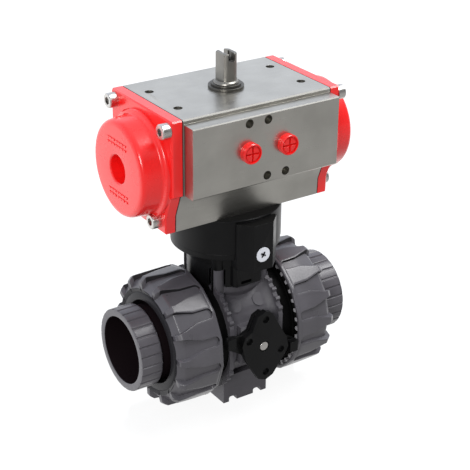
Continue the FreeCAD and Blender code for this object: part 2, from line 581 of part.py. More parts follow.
sq = D["drive_square_half"] - 0.04
coupling = fuse([cyl(D["coupling_radius"], 28.0, (0, 0, 83.0)), box((sq * 2, sq * 2, 22.0), (-sq, -sq, 110.9))])
node(cut(coupling, [box((8.1, 11.1, 14.0), (-4.05, -5.55, 82.0))]), "drive_coupling")

# ---------------------------------------------------------------- valve body
rbar, rf, rth = D["barrel_radius"], D["flange_radius"], D["thread_radius"]
fi, fo, xe = D["flange_inner_face"], D["flange_outer_face"], D["body_end_face"]
half = [(fi - 8.0, rbar), (fi - 4.5, rbar + 0.8), (fi - 2.0, rbar + 2.6), (fi - 0.6, rf - 3.0), (fi, rf - 1.8), (fo, rf - 1.8), (fo, rth - 2.0), (fo + 6.6, rth - 2.0), (fo + 6.6, rth)]
x = fo + 7.6
for k in range(3):
    half += [(x, rth), (x + 0.8, rth - 1.2), (x + 1.8, rth - 1.2), (x + 2.6, rth)]
    x = x + 4.2
half += [(xe - 0.8, rth), (xe, rth - 0.8), (xe, 0)]
barrel = turned([(-a, r) for a, r in reversed(half)] + half, "H_Axis", (0, 0, zp))
# toothed rims of the two body flanges
teeth_l, teeth_r = [], []
for s, store in ((1, teeth_r), (-1, teeth_l)):
    rim = new_body(None, (0, 0, zp))
    disc = pad(rim, sketch(rim, "YZ_Plane", [], (fo if s > 0 else -fi) - (fo - fi), [(0, 0, rf - 1.7)]), fo - fi)
    tooth = pad(rim, sketch(rim, "YZ_Plane", [[(rf - 2.6, -2.2), (rf - 0.2, -0.9), (rf, 0.6), (rf - 1.9, 1.8), (rf - 2.6, 1.8)]],
                            (fo if s > 0 else -fi) - (fo - fi)), fo - fi)
    polar(rim, [tooth], "X_Axis", 40)
    store.append(rim)
plate = turned([(0, 66.0), (18.0, 66.0), (21.8, 71.9), (21.8, 74.6), (21.0, 75.4), (0, 75.4)])
neck = cyl(17.0, 20.0, (0, 0, 55.0))
posts = []
for sx in (1, -1):
    for sy in (1, -1):
        posts.append(cyl(D["post_radius"], znt - 66.0, (post * sx, post * sy, 66.0)))
foot = new_body()
fl, nx, nw, nh = D["foot_half_length"], D["foot_notch_x"], D["foot_notch_width"] / 2, D["foot_notch_height"]
fw = D["foot_half_width"]
prof = [(-fl, 0), (-nx - nw, 0), (-nx - nw, nh - 0.8), (-nx - nw + 0.8, nh), (-nx + nw - 0.8, nh), (-nx + nw, nh - 0.8), (-nx + nw, 0),
        (nx - nw, 0), (nx - nw, nh - 0.8), (nx - nw + 0.8, nh), (nx + nw - 0.8, nh), (nx + nw, nh - 0.8), (nx + nw, 0), (fl, 0),
        (fl, D["foot_height"] + 4.0), (-fl, D["foot_height"] + 4.0)]
pad(foot, sketch(foot, "XZ_Plane", [prof], -fw), fw * 2)
bosses = []
for bx in (8.1, -8.1):
    b = cyl(4.1, 4.9, (bx, -19.75, zp + 17.8))
    b.Placement = FreeCAD.Placement(V(bx, -19.75, zp.v + 17.8), R(V(1, 0, 0), 48))
    bosses.append(b)
rear_boss = cyl(8.0, 14.0, (0, 20.0, zp), "y")
lock_seat = box((22.0, 12.0, 24.0), (-11.0, -33.5, zp - 12.0))
core = cut(fuse([barrel] + teeth_l + teeth_r), [cyl(rc + 2.7, 14.0, (0, 0, zbb - 0.4))])
outer = fuse([core, plate, neck] + posts + bosses + [foot, rear_boss, lock_seat])
vc = D["cavity_radius"]
body_tools = [
    cyl(vc, 60.0, (-22.5, 0, zp), "x"), cyl(D["passage_radius"], 60.0, (-50.0, 0, zp), "x"),
    cyl(D["stem_radius"] + 0.05, 60.0, (0, 0, 50.0)), cyl(10.6, 10.1, (0, 0, 60.0)),
]
for sx in (1, -1):
    for sy in (1, -1):
        body_tools.append(cyl(2.02, 14.0, (post * sx, post * sy, znt + 1.0), "-z"))
for sx in (-1, 1):
    body_tools.append(cyl(D["insert_radius"] + 0.02, 9.0, (0, 13.0 * sx, -1.0)))
for dz in (8.6, -7.4):
    body_tools.append(cyl(1.52, 9.0, (0, -34.5, zp + dz), "y"))
body_tools.append(cyl(1.6, 7.0, (0, -34.5, zp + 0.6), "y"))
body_tools.append(box((42.0, 12.0, 38.0), (-21.0, -45.5, zp - 19.0)))
node(cut(outer, body_tools), "valve_body")

# ---------------------------------------------------------------- ball, stem, seats
br = D["ball_radius"]
sphere = doc.addObject("Part::Sphere", "ball_blank")
sphere.Radius = br.v
bind(sphere, "Radius", br)
place(sphere, (0, 0, zp))
node(cut(sphere, [cyl(D["passage_radius"] - 0.4, 60.0, (0, -30.0, zp), "y"), box((20.0, 8.2, 8.0), (-10.0, -4.1, zp + 19.5))]), "ball")
sr = D["stem_radius"]
stem = turned([(0, 67.9), (10.3, 67.9), (10.3, 69.9), (sr, 69.9), (sr, 71.4), (sr - 1.4, 71.4), (sr - 1.4, 73.4), (sr, 73.4),
               (sr, 81.0), (5.4, 81.6), (5.4, 95.4), (4.9, 95.9), (0, 95.9)])
tang = common(box((16.4, 8.0, 6.0), (-8.2, -4.0, zp + 19.9)), cyl(8.0, 9.0, (0, 0, zp + 18.5)))
stem_flats = [box((4.0, 16.0, 16.0), (4.0, -8.0, 81.8)), box((4.0, 16.0, 16.0), (-8.0, -8.0, 81.8))]
node(cut(fuse([stem, tang]), stem_flats), "valve_stem")
node(torus(sr - 0.7, 0.68, (0, 0, 72.4)), "stem_o_ring")
for side, s in (("left", -1), ("right", 1)):
    seat = turned([(x * s, r) for x, r in ((18.9, 15.6), (22.5, 15.6), (22.5, 18.4), (20.4, 18.4), (20.4, 20.6), (22.5, 20.6), (22.5, vc - 0.05), (15.6, vc - 0.05), (15.6, 18.75))], "H_Axis", (0, 0, zp))
    node(seat, side + "_ball_seat")
    node(torus(19.5, 0.9, (21.4 * s, 0, zp), "x"), side + "_seat_o_ring")
carrier = turned([(22.5, D["passage_radius"]), (22.5, vc - 0.05), (36.5, vc - 0.05), (37.5, vc - 1.0), (37.5, 21.0), (35.5, 19.5), (35.5, D["passage_radius"])], "H_Axis", (0, 0, zp))
node(cut(carrier, [box((3.0, 5.0, 60.0), (35.6, -2.5, zp - 30.0))]), "seat_carrier")

# ---------------------------------------------------------------- end connectors and union nuts
se, sd, so, ps = D["socket_end"], D["socket_depth"], D["socket_outer_radius"], D["passage_radius"]
co, rcol = D["collar_outer_face"], D["collar_radius"]
rim_x, nose_x, rnut, rnose, rfloor = D["nut_rim_face"], D["nut_nose_face"], D["nut_radius"], D["nut_nose_radius"], D["nut_pocket_floor"]
for side, s in (("left", -1), ("right", 1)):
    conn = turned([(x * s, r) for x, r in (
        (xe, ps), (xe, 21.0), (xe + 2.2, 21.0), (xe + 2.2, 25.0), (xe, 25.0), (xe, rcol), (co, rcol), (co, D["neck_radius"] + 2.2), (co + 1.6, D["neck_radius"]),
        (D["sleeve_inner_face"], D["neck_radius"]), (D["sleeve_inner_face"] + 0.2, so - 0.6), (D["sleeve_inner_face"] + 1.0, so), (se - 0.8, so), (se, so - 0.8), (se, D["socket_radius"]), (se - sd, D["socket_radius"]), (se - sd, ps))], "H_Axis", (0, 0, zp))
    groove = pocket(conn, sketch(conn, "YZ_Plane", [[(so - 0.65, 0), (so + 0.6, -1.0), (so + 0.6, 1.0)]], (D["sleeve_inner_face"] - 1.0) * s), None, s > 0)
    polar(conn, [groove], "X_Axis", int(D["sleeve_ribs"].v))
    node(conn, side + "_end_connector")
    node(torus(23.0, 1.05, ((xe + 1.12) * s, 0, zp), "x"), side + "_connector_o_ring")
    nut = turned([(x * s, r) for x, r in (
        (rim_x, D["nut_bore_radius"] + 2.6), (rim_x, rnut - 0.6), (rim_x + 0.6, rnut), (rim_x + 12.0, rnut - 0.2), (nose_x - 3.2, rnut - 0.5), (nose_x - 0.7, rnut - 2.4), (nose_x, rnose),
        (nose_x, rnose - 2.0), (nose_x - 1.0, D["nut_lip_radius"] + 0.4), (nose_x - 0.4, D["nut_lip_radius"]), (nose_x - 0.4, D["nut_nose_bore"]), (co + 0.3, D["nut_nose_bore"]), (co + 0.3, D["nut_bore_radius"]),
        (rim_x + 3.0, D["nut_bore_radius"]), (rim_x + 3.0, D["nut_bore_radius"] + 2.6))], "H_Axis", (0, 0, zp))
    flat_pocket = pocket(nut, sketch(nut, "XY_Plane", [[((rim_x + 2.0) * s, -2.0), ((rim_x + 2.8) * s, -2.6), ((rim_x + 13.0) * s, -2.9), ((nose_x - 5.0) * s, -5.6), ((nose_x + 1.0) * s, -6.2),
                                                   ((nose_x + 1.0) * s, 6.2), ((nose_x - 5.0) * s, 5.6), ((rim_x + 13.0) * s, 2.9), ((rim_x + 2.8) * s, 2.6), ((rim_x + 2.0) * s, 2.0)]], rfloor), 6.0, True)
    slope = pocket(nut, sketch(nut, "XZ_Plane", [[((nose_x - 13.0) * s, rfloor + 0.02), ((nose_x - 3.4) * s, rnose + 0.2), ((nose_x + 1.0) * s, rnose - 5.4), ((nose_x + 1.0) * s, rfloor + 2.0), ((nose_x - 13.0) * s, rfloor + 2.0)]], -4.4), 8.8, True)
    notch = pocket(nut, sketch(nut, "XZ_Plane", [[((nose_x - 4.2) * s, rfloor + 0.02), ((nose_x - 3.4) * s, rnose + 0.2), ((nose_x + 1.0) * s, rnose - 5.4), ((nose_x + 1.0) * s, rfloor + 2.0), ((nose_x - 4.2) * s, rfloor + 2.0)]], -5.8), 11.6, True)
    polar(nut, [flat_pocket, slope, notch], "X_Axis", int(D["nut_petals"].v))
    inner = pad(nut, sketch(nut, "YZ_Plane", [[(D["nut_bore_radius"] + 0.6, -0.85), (D["nut_bore_radius"] + 3.0, -1.2), (D["nut_bore_radius"] + 3.0, 1.2), (D["nut_bore_radius"] + 0.6, 0.85)]], (rim_x + 0.3) * s), 3.0, s < 0)
    polar(nut, [inner], "X_Axis", 40)
    nut.Placement = FreeCAD.Placement(nut.Placement.Base, R(V(1, 0, 0), 1.0 if s < 0 else 3.8))
    node(nut, side + "_union_nut")

# ---------------------------------------------------------------- nut lock
lf, lt = D["lock_plate_face"], D["lock_plate_thickness"]
zl = zp + 0.6
rhomb = [(-4.6, 20.2), (0.8, 22.6), (5.4, 20.2), (15.8, 1.0), (17.2, -5.0), (14.6, -9.6), (6.4, -20.6), (1.4, -22.8), (-3.8, -20.8), (-12.6, -6.0), (-15.2, 4.0), (-13.2, 9.4), (-8.4, 11.4)]
lp = new_body(None, (0, 0, zl))
pad(lp, sketch(lp, "XZ_Plane", [rhomb], lf - lt), lt)
arms = new_body(None, (0, 0, zl))
pad(arms, sketch(arms, "XZ_Plane", [[(-23.6, 10.6), (-23.6, 3.4), (-11.0, -4.4), (12.0, -9.0), (23.6, -10.6), (23.6, -3.4), (11.0, 4.4), (-12.0, 9.0)]], lf - lt - 1.8), 1.8)
tip_r = box((5.4, 8.4, 6.6), (18.4, -lf - 0.3, zl - 10.2))
tip_l = box((5.4, 4.0, 6.6), (-23.8, -lf + 1.4, zl + 3.6))
holes = [cyl(2.2, lt - 0.8, (hx, -lf - 1.0, zl + hz), "y") for hx, hz in ((0.8, 17.2), (-10.3, 6.0), (11.8, -5.6), (1.4, -17.4))]
holes.append(cyl(3.3, 2.0, (0, -lf - 0.5, zl), "y"))
holes.append(cyl(1.65, lt + 6.0, (0, -lf - 1.0, zl), "y"))
node(cut(fuse([lp, arms, tip_r, tip_l]), holes), "lock_plate")
base_back = 33.5
lb = new_body(None, (0, 0, zl))
shrunk = [(-4.0, 18.6), (0.6, 20.6), (4.8, 18.6), (13.8, 1.0), (15.0, -4.8), (12.8, -8.6), (5.6, -18.6), (1.2, -20.6), (-3.4, -18.8), (-11.2, -5.4), (-13.6, 3.6), (-11.8, 8.2), (-7.6, 10.0)]
pad(lb, sketch(lb, "XZ_Plane", [shrunk], base_back), lf - lt - base_back - 2.1)
base_face = lf - lt - 2.1
lock_tools = [cyl(1.6, 12.0, (0, -lf, zl), "y")]
for dz in (8.0, -8.0):
    lock_tools += [cyl(1.6, 12.0, (0, -lf, zl + dz), "y"), cyl(2.6, 3.4, (0, -base_face - 2.0, zl + dz), "y")]
node(cut(lb, lock_tools), "lock_base")
pin_body = turned([(0, 0), (1.57, 0), (1.57, 11.2), (2.7, 11.2), (2.7, 12.0), (1.2, 12.3), (0, 12.3)])
pin_body.Placement = FreeCAD.Placement()
place(pin_body, (0, -(lf - 0.4 - 11.9), zl), "-y")
node(pin_body, "lock_pin")
screws = [cut(fuse([cyl(2.5, 1.3, (0, -base_face + 1.35, zl + dz), "-y"), cyl(1.5, 8.4, (0, -base_face + 1.35, zl + dz), "y")]),
              [hexagon(2.0, 1.0, (0, -base_face - 0.3, zl + dz), "y")]) for dz in (8.0, -8.0)]
node(group(screws, "lock_screws"))

inserts = [cut(cyl(D["insert_radius"], 7.6, (0, 13.0 * sx, 0.2)), [cyl(D["insert_hole_radius"], 9.0, (0, 13.0 * sx, -0.5))]) for sx in (-1, 1)]
node(group(inserts, "foot_inserts"))

# ---------------------------------------------------------------- check and export
doc.recompute()
bad = []
for o in doc.Objects:
    if "Invalid" in o.State or "Error" in o.State:
        bad.append((o.Name, o.Label, o.State))
os.makedirs("parts", exist_ok=True)
names = set()
for o in NODES:
    shape = o.Shape
    if shape.isNull() or not shape.isValid():
        bad.append((o.Name, o.Label, "null or invalid"))
        continue
    if o.Label in names:
        bad.append((o.Name, o.Label, "label twice"))
    names.add(o.Label)
    shape.exportStep("parts/%s.step" % o.Label)
    b = shape.BoundBox
    print("%-24s solids %2d vol %9.1f  x %7.2f %7.2f y %7.2f %7.2f z %7.2f %7.2f" % (
        o.Label, len(shape.Solids), shape.Volume, b.XMin, b.XMax, b.YMin, b.YMax, b.ZMin, b.ZMax))
print(len(NODES), "nodes; problems:", bad)
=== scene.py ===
import bpy
import bmesh
import json
import math
from mathutils import Vector, Matrix, Euler

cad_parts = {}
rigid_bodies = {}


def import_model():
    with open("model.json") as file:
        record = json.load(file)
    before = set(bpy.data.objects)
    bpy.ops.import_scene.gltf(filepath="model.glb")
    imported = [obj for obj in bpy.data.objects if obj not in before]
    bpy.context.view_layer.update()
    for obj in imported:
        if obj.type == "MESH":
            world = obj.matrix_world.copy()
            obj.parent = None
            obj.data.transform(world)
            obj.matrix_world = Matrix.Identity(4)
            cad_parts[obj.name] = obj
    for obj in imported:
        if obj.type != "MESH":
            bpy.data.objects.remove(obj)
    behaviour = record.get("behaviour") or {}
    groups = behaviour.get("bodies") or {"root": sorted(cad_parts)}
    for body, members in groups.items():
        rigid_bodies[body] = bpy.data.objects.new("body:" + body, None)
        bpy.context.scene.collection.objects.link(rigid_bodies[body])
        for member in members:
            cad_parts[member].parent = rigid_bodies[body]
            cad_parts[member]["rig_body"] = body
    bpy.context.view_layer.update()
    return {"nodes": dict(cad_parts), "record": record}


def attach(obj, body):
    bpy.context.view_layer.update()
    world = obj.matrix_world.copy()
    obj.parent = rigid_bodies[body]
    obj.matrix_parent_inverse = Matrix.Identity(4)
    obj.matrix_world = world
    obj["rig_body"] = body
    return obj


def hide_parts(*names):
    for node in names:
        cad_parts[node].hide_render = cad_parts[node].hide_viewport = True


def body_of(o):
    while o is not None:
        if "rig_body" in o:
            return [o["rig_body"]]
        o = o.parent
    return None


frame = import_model()
nodes = frame["nodes"]
MM = 0.001
scene = bpy.context.scene


# ------------------------------------------------------------------ materials
def tree(name):
    m = bpy.data.materials.new(name)
    m.use_nodes = True
    nt = m.node_tree
    return m, nt, nt.nodes["Principled BSDF"]


def add(nt, kind, **values):
    n = nt.nodes.new(kind)
    for k, v in values.items():
        if k in n.inputs:
            n.inputs[k].default_value = v
        else:
            setattr(n, k, v)
    return n


def coords(nt, scale=(1, 1, 1)):
    tc = add(nt, "ShaderNodeTexCoord")
    mp = add(nt, "ShaderNodeMapping")
    mp.inputs["Scale"].default_value = scale
    nt.links.new(tc.outputs["Object"], mp.inputs["Vector"])
    return mp.outputs["Vector"]


def noise(nt, vec, scale, detail=4.0, rough=0.55):
    n = add(nt, "ShaderNodeTexNoise")
    n.inputs["Scale"].default_value = scale
    n.inputs["Detail"].default_value = detail
    n.inputs["Roughness"].default_value = rough
    nt.links.new(vec, n.inputs["Vector"])
    return n.outputs["Fac"]


def span(nt, fac, lo_, hi_, a=0.3, b=0.7):
    r = add(nt, "ShaderNodeMapRange")
    r.inputs["From Min"].default_value = a
    r.inputs["From Max"].default_value = b
    r.inputs["To Min"].default_value = lo_
    r.inputs["To Max"].default_value = hi_
    nt.links.new(fac, r.inputs["Value"])
    return r.outputs["Result"]


def tint(nt, fac, c0, c1, p0=0.3, p1=0.7):
    r = add(nt, "ShaderNodeValToRGB")
    r.color_ramp.elements[0].position = p0
    r.color_ramp.elements[1].position = p1
    r.color_ramp.elements[0].color = (*c0, 1)
    r.color_ramp.elements[1].color = (*c1, 1)
    nt.links.new(fac, r.inputs["Fac"])
    return r.outputs["Color"]


def bump(nt, height, strength, distance, bsdf):
    b = add(nt, "ShaderNodeBump")
    b.inputs["Strength"].default_value = strength
    b.inputs["Distance"].default_value = distance
    nt.links.new(height, b.inputs["Height"])
    nt.links.new(b.outputs["Normal"], bsdf.inputs["Normal"])


def metal(name, c0, c1, r0, r1, stretch=(1, 1, 1), scale=900.0, depth=0.000012, strength=0.35, aniso=0.0):
    m, nt, p = tree(name)
    p.inputs["Metallic"].default_value = 1.0
    if aniso:
        p.inputs["Anisotropic"].default_value = aniso
    grain = noise(nt, coords(nt, stretch), scale, 6.0, 0.6)
    cloud = noise(nt, coords(nt, (1, 1, 1)), 55.0, 3.0, 0.5)
    nt.links.new(span(nt, grain, r0, r1), p.inputs["Roughness"])
    nt.links.new(tint(nt, cloud, c0, c1), p.inputs["Base Color"])
    bump(nt, grain, strength, depth, p)
    return m


def extrusion(name, c0, c1, r0, r1):
    """Brushed faces; the rolled long edges near y -32 and -41 are rougher and carry a painted shade, a darker colour
    that dims their highlight.
    """
    m, nt, p = tree(name)
    p.inputs["Metallic"].default_value = 1.0
    grain = noise(nt, coords(nt, (0.03, 1.0, 1.0)), 1500.0, 6.0, 0.6)
    cloud = noise(nt, coords(nt), 55.0, 3.0, 0.5)
    tc = add(nt, "ShaderNodeTexCoord")
    sep = add(nt, "ShaderNodeSeparateXYZ")
    nt.links.new(tc.outputs["Object"], sep.inputs["Vector"])

    def near(out, value, reach):
        n = add(nt, "ShaderNodeMath", operation="COMPARE")
        n.inputs[1].default_value = value
        n.inputs[2].default_value = reach
        nt.links.new(out, n.inputs[0])
        return n.outputs[0]

    def both(a, b, op="MULTIPLY"):
        n = add(nt, "ShaderNodeMath", operation=op)
        nt.links.new(a, n.inputs[0])
        nt.links.new(b, n.inputs[1])
        return n.outputs[0]

    # painted shade: masks of the two long top edges, where the colour is darkened to dim the key light's highlight
    top = both(near(sep.outputs["Y"], -0.0316, 0.00042), near(sep.outputs["Z"], 0.1884, 0.00042))
    block_edge_shade_mask = both(near(sep.outputs["Y"], -0.0407, 0.00034), near(sep.outputs["Z"], 0.1860, 0.00034))
    edge = both(top, block_edge_shade_mask, "MAXIMUM")
    mixr = add(nt, "ShaderNodeMix", data_type="FLOAT")
    mixr.inputs[3].default_value = 0.55
    nt.links.new(edge, mixr.inputs[0])
    nt.links.new(span(nt, grain, r0, r1), mixr.inputs[2])
    nt.links.new(mixr.outputs[0], p.inputs["Roughness"])
    edge_shade_mix = add(nt, "ShaderNodeMix", data_type="RGBA")
    edge_shade_mix.inputs[7].default_value = (0.24, 0.235, 0.22, 1)
    nt.links.new(edge, edge_shade_mix.inputs[0])
    nt.links.new(tint(nt, cloud, c0, c1), edge_shade_mix.inputs[6])
    nt.links.new(edge_shade_mix.outputs[2], p.inputs["Base Color"])
    bump(nt, grain, 0.30, 0.00001, p)
    return m


def plastic(name, c0, c1, r0, r1, grain_scale=2600.0, depth=0.00001, strength=0.4, coat=0.0, ior=1.5, cloud_scale=70.0, stretch=(1, 1, 1), level=0.5, bore_shade=None, collar_shade=None):
    m, nt, p = tree(name)
    p.inputs["IOR"].default_value = ior
    p.inputs["Specular IOR Level"].default_value = level
    if coat:
        p.inputs["Coat Weight"].default_value = coat
        p.inputs["Coat Roughness"].default_value = 0.12
    v = coords(nt, stretch)
    grain = noise(nt, v, grain_scale, 3.0, 0.5)
    cloud = noise(nt, coords(nt), cloud_scale, 4.0, 0.55)
    nt.links.new(span(nt, cloud, r0, r1), p.inputs["Roughness"])
    colour = tint(nt, cloud, c0, c1)
    if bore_shade:
        # painted shade: the inside of a deep hole along X is painted darker than the outside, with less specular
        height, radius, shade_colour = bore_shade
        tc = add(nt, "ShaderNodeTexCoord")
        sep = add(nt, "ShaderNodeSeparateXYZ")
        nt.links.new(tc.outputs["Object"], sep.inputs["Vector"])
        dz = add(nt, "ShaderNodeMath", operation="SUBTRACT")
        dz.inputs[1].default_value = height
        nt.links.new(sep.outputs["Z"], dz.inputs[0])
        z2 = add(nt, "ShaderNodeMath", operation="POWER")
        z2.inputs[1].default_value = 2.0
        nt.links.new(dz.outputs[0], z2.inputs[0])
        y2 = add(nt, "ShaderNodeMath", operation="POWER")
        y2.inputs[1].default_value = 2.0
        nt.links.new(sep.outputs["Y"], y2.inputs[0])
        total = add(nt, "ShaderNodeMath", operation="ADD")
        nt.links.new(z2.outputs[0], total.inputs[0])
        nt.links.new(y2.outputs[0], total.inputs[1])
        shade_mask = add(nt, "ShaderNodeMath", operation="LESS_THAN")
        shade_mask.inputs[1].default_value = radius * radius
        nt.links.new(total.outputs[0], shade_mask.inputs[0])
        if collar_shade:
            # painted shade also on the recess close to the middle of the part
            away = add(nt, "ShaderNodeMath", operation="ABSOLUTE")
            nt.links.new(sep.outputs["X"], away.inputs[0])
            near = add(nt, "ShaderNodeMath", operation="LESS_THAN")
            near.inputs[1].default_value = collar_shade
            nt.links.new(away.outputs[0], near.inputs[0])
            either = add(nt, "ShaderNodeMath", operation="MAXIMUM")
            nt.links.new(near.outputs[0], either.inputs[0])
            nt.links.new(shade_mask.outputs[0], either.inputs[1])
            shade_mask = either
        mix = add(nt, "ShaderNodeMix", data_type="RGBA")
        mix.inputs[7].default_value = (*shade_colour, 1)
        nt.links.new(shade_mask.outputs[0], mix.inputs[0])
        nt.links.new(colour, mix.inputs[6])
        colour = mix.outputs[2]
        shine = add(nt, "ShaderNodeMapRange")
        shine.inputs["To Min"].default_value = level
        shine.inputs["To Max"].default_value = 0.08
        nt.links.new(shade_mask.outputs[0], shine.inputs["Value"])
        nt.links.new(shine.outputs["Result"], p.inputs["Specular IOR Level"])
    nt.links.new(colour, p.inputs["Base Color"])
    bump(nt, grain, strength, depth, p)
    return m


MAT = {
    "anodised_aluminium": extrusion("brushed_aluminium", (0.455, 0.443, 0.410), (0.535, 0.522, 0.484), 0.26, 0.40),
    "cast_aluminium": metal("machined_aluminium", (0.50, 0.50, 0.51), (0.58, 0.58, 0.58), 0.30, 0.45),
    "stainless_steel": metal("turned_steel", (0.21, 0.20, 0.185), (0.30, 0.29, 0.265), 0.34, 0.46, (1, 1, 0.25), 1200.0),
    "stainless_screw": metal("screw_steel", (0.56, 0.54, 0.52), (0.66, 0.645, 0.62), 0.22, 0.36, (0.25, 1, 1), 1400.0),
    "spring_steel": metal("spring_steel", (0.20, 0.20, 0.21), (0.28, 0.28, 0.29), 0.25, 0.4),
    "brass_insert": metal("brass", (0.55, 0.40, 0.16), (0.66, 0.50, 0.22), 0.25, 0.4),
    "red_paint": plastic("red_enamel", (0.93, 0.010, 0.010), (0.97, 0.014, 0.013), 0.24, 0.32, 1900.0, 0.000008, 0.15, coat=0.45),
    "red_plastic": plastic("red_cap_plastic", (0.80, 0.008, 0.008), (0.90, 0.014, 0.012), 0.22, 0.32, 2200.0, 0.000008, 0.3, coat=0.3),
    "black_rubber": plastic("black_rubber", (0.010, 0.010, 0.010), (0.018, 0.018, 0.018), 0.6, 0.8, level=0.3),
    "white_bearing": plastic("bearing_plastic", (0.70, 0.69, 0.63), (0.78, 0.77, 0.72), 0.4, 0.5),
    "white_plastic": plastic("white_disc", (0.74, 0.76, 0.82), (0.82, 0.84, 0.90), 0.25, 0.35, coat=0.2),
    "black_plastic": plastic("black_moulding", (0.0030, 0.0030, 0.0033), (0.0055, 0.0055, 0.0058), 0.30, 0.42, 3000.0, 0.000012, 0.5, level=0.19),
    "grey_pvc": plastic("grey_moulding", (0.083, 0.078, 0.088), (0.104, 0.098, 0.110), 0.27, 0.37, 2400.0, 0.000012, 0.4, coat=0.10),
}
# painted shade: the socket's bore and its neck recess (|x| under 57.1 mm) are painted near-black
SOCKET = plastic("grey_moulding_socket", (0.083, 0.078, 0.088), (0.104, 0.098, 0.110), 0.27, 0.37, 2400.0, 0.000012, 0.4, coat=0.0, bore_shade=(0.0434, 0.0201, (0.010, 0.0065, 0.0075)), collar_shade=0.0571)
# painted shade: the nut's nose and inner lip, inside radius 32.2 mm of the pipe axis, are painted darker
NUT = plastic("grey_moulding_nut", (0.080, 0.076, 0.085), (0.100, 0.095, 0.107), 0.27, 0.37, 2400.0, 0.000012, 0.4, coat=0.05, bore_shade=(0.0434, 0.0322, (0.026, 0.025, 0.028)))
# painted light: the ratchet teeth get a much lighter copy of the grey moulding so they look lit inside the dark gap
PAINTED_LIGHT_TOOTH = plastic("grey_moulding_lit", (0.42, 0.41, 0.43), (0.50, 0.49, 0.51), 0.30, 0.40, 2400.0, 0.000012, 0.4)
# painted shade: a near-black copy of the grey moulding for the slot walls of the nuts
PAINTED_SHADE_WALL = plastic("grey_moulding_shade", (0.014, 0.013, 0.015), (0.020, 0.019, 0.021), 0.40, 0.50, 2400.0, 0.000012, 0.4, level=0.3)
WASHER = metal("dull_steel", (0.10, 0.096, 0.088), (0.16, 0.154, 0.141), 0.36, 0.50, (1, 1, 0.25), 1200.0)


def barrel_material():
    """The same moulding, rougher, and in deep shadow between a body flange and its nut."""
    m, nt, p = tree("grey_moulding_body")
    p.inputs["IOR"].default_value = 1.5
    v = coords(nt)
    grain = noise(nt, v, 2400.0, 3.0, 0.5)
    cloud = noise(nt, v, 70.0, 4.0, 0.55)
    nt.links.new(span(nt, cloud, 0.44, 0.54), p.inputs["Roughness"])
    colour = tint(nt, cloud, (0.068, 0.064, 0.073), (0.088, 0.083, 0.094))
    tc = add(nt, "ShaderNodeTexCoord")
    sep = add(nt, "ShaderNodeSeparateXYZ")
    nt.links.new(tc.outputs["Object"], sep.inputs["Vector"])
    away = add(nt, "ShaderNodeMath", operation="ABSOLUTE")
    nt.links.new(sep.outputs["X"], away.inputs[0])
    far = add(nt, "ShaderNodeMath", operation="GREATER_THAN")
    far.inputs[1].default_value = 0.01835
    nt.links.new(away.outputs[0], far.inputs[0])
    high = add(nt, "ShaderNodeMath", operation="GREATER_THAN")
    high.inputs[1].default_value = 0.0135
    nt.links.new(sep.outputs["Z"], high.inputs[0])
    both = add(nt, "ShaderNodeMath", operation="MULTIPLY")
    nt.links.new(far.outputs[0], both.inputs[0])
    nt.links.new(high.outputs[0], both.inputs[1])
    # painted shadow: faces beyond |x| 18.35 mm and above z 13.5 mm, in the gap next to each nut, get a near-black
    # colour and little specular
    mix = add(nt, "ShaderNodeMix", data_type="RGBA")
    mix.inputs[7].default_value = (0.004, 0.004, 0.004, 1)
    nt.links.new(both.outputs[0], mix.inputs[0])
    nt.links.new(colour, mix.inputs[6])
    nt.links.new(mix.outputs[2], p.inputs["Base Color"])
    shine = add(nt, "ShaderNodeMapRange")
    shine.inputs["To Min"].default_value = 0.42
    shine.inputs["To Max"].default_value = 0.05
    nt.links.new(both.outputs[0], shine.inputs["Value"])
    nt.links.new(shine.outputs["Result"], p.inputs["Specular IOR Level"])
    bump(nt, grain, 0.4, 0.000012, p)
    return m


BARREL = barrel_material()
slot_of = {s["node"]: s["material_slot"] for s in frame["record"]["subparts"]}


def dress(o, slot):
    o.data.materials.clear()
    o.data.materials.append(MAT[slot])


for name, o in nodes.items():
    dress(o, slot_of[name])


# ------------------------------------------------------------------ mesh tools
def new_object(name, verts, faces, slot, angle=32.0):
    me = bpy.data.meshes.new(name)
    me.from_pydata([tuple(c * MM for c in v) for v in verts], [], faces)
    me.validate()
    me.update()
    o = bpy.data.objects.new(name, me)
    scene.collection.objects.link(o)
    dress(o, slot)
    tidy(o, angle)
    return o


def tidy(o, angle=32.0):
    me = o.data
    bm = bmesh.new()
    bm.from_mesh(me)
    bmesh.ops.recalc_face_normals(bm, faces=bm.faces)
    bm.to_mesh(me)
    bm.free()
    for f in me.polygons:
        f.use_smooth = True
    me.set_sharp_from_angle(angle=math.radians(angle))


def soften(o, width=0.3, segments=2, angle=32.0):
    b = o.modifiers.new("edge", "BEVEL")
    b.width = width * MM
    b.segments = segments
    b.limit_method = "ANGLE"
    b.angle_limit = math.radians(angle)
    b.use_clamp_overlap = True
    b.miter_outer = "MITER_ARC"
    b.harden_normals = True
    return o


def copied(node, width=0.3, angle=32.0, name=None, slot=None, segments=2, dissolve=1.0):
    """A cleaned and edge-rounded piece in a CAD node's place."""
    src = nodes[node]
    me = src.data.copy()
    me.transform(src.matrix_world)
    bm = bmesh.new()
    bm.from_mesh(me)
    bmesh.ops.remove_doubles(bm, verts=bm.verts, dist=2e-6)
    bmesh.ops.dissolve_limit(bm, angle_limit=math.radians(dissolve), verts=bm.verts, edges=bm.edges)
    bm.to_mesh(me)
    bm.free()
    me.name = name or (node + "_shell")
    o = bpy.data.objects.new(name or (node + "_shell"), me)
    scene.collection.objects.link(o)
    dress(o, slot or slot_of[node])
    tidy(o, angle)
    if width:
        soften(o, width, segments, angle)
    body = body_of(src)
    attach(o, body if isinstance(body, str) else body[0])
    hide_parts(node)
    return o


